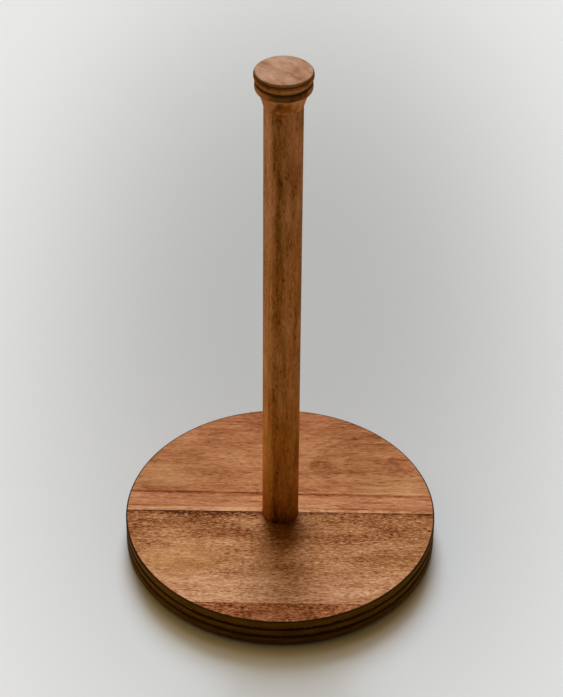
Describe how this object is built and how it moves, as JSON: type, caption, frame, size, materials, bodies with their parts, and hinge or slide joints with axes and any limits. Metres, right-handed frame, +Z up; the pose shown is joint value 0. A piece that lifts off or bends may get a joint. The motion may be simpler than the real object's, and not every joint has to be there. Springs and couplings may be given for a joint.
{
  "type": "paper towel holder",
  "caption": "Upright paper towel holder: a round wooden base with a grooved edge, a plain dowel post with a turned cap, and non-slip pads beneath.",
  "frame": {"origin": "on the table, under the middle of the round base and on the post's axis", "axes": "+Z up along the post, X along the grain of the base's staves, -Y towards the user, where the narrow stave is"},
  "size_m": [0.19, 0.19, 0.34],
  "materials": {
    "rear_stave_wood": "oiled satin, salmon-brown hardwood",
    "front_stave_wood": "oiled satin, tan hardwood",
    "edge_stave_wood": "oiled satin, red-brown hardwood",
    "post_wood": "oiled satin, mid-brown hardwood",
    "cap_wood": "oiled satin, pinkish tan hardwood",
    "pin_wood": "plain beech",
    "screw_steel": "zinc plated",
    "insert_brass": "plain",
    "foot_rubber": "matt black"
  },
  "bodies": {
    "root": {"base_stave_rear": "rear_stave_wood", "base_stave_front": "front_stave_wood", "base_stave_front_edge": "edge_stave_wood", "post": "post_wood", "cap": "cap_wood", "cap_dowel_pin": "pin_wood", "post_screw": "screw_steel", "screw_washer": "screw_steel", "threaded_insert": "insert_brass", "foot_front_left": "foot_rubber", "foot_front_right": "foot_rubber", "foot_rear_left": "foot_rubber", "foot_rear_right": "foot_rubber"}
  },
  "joints": []
}
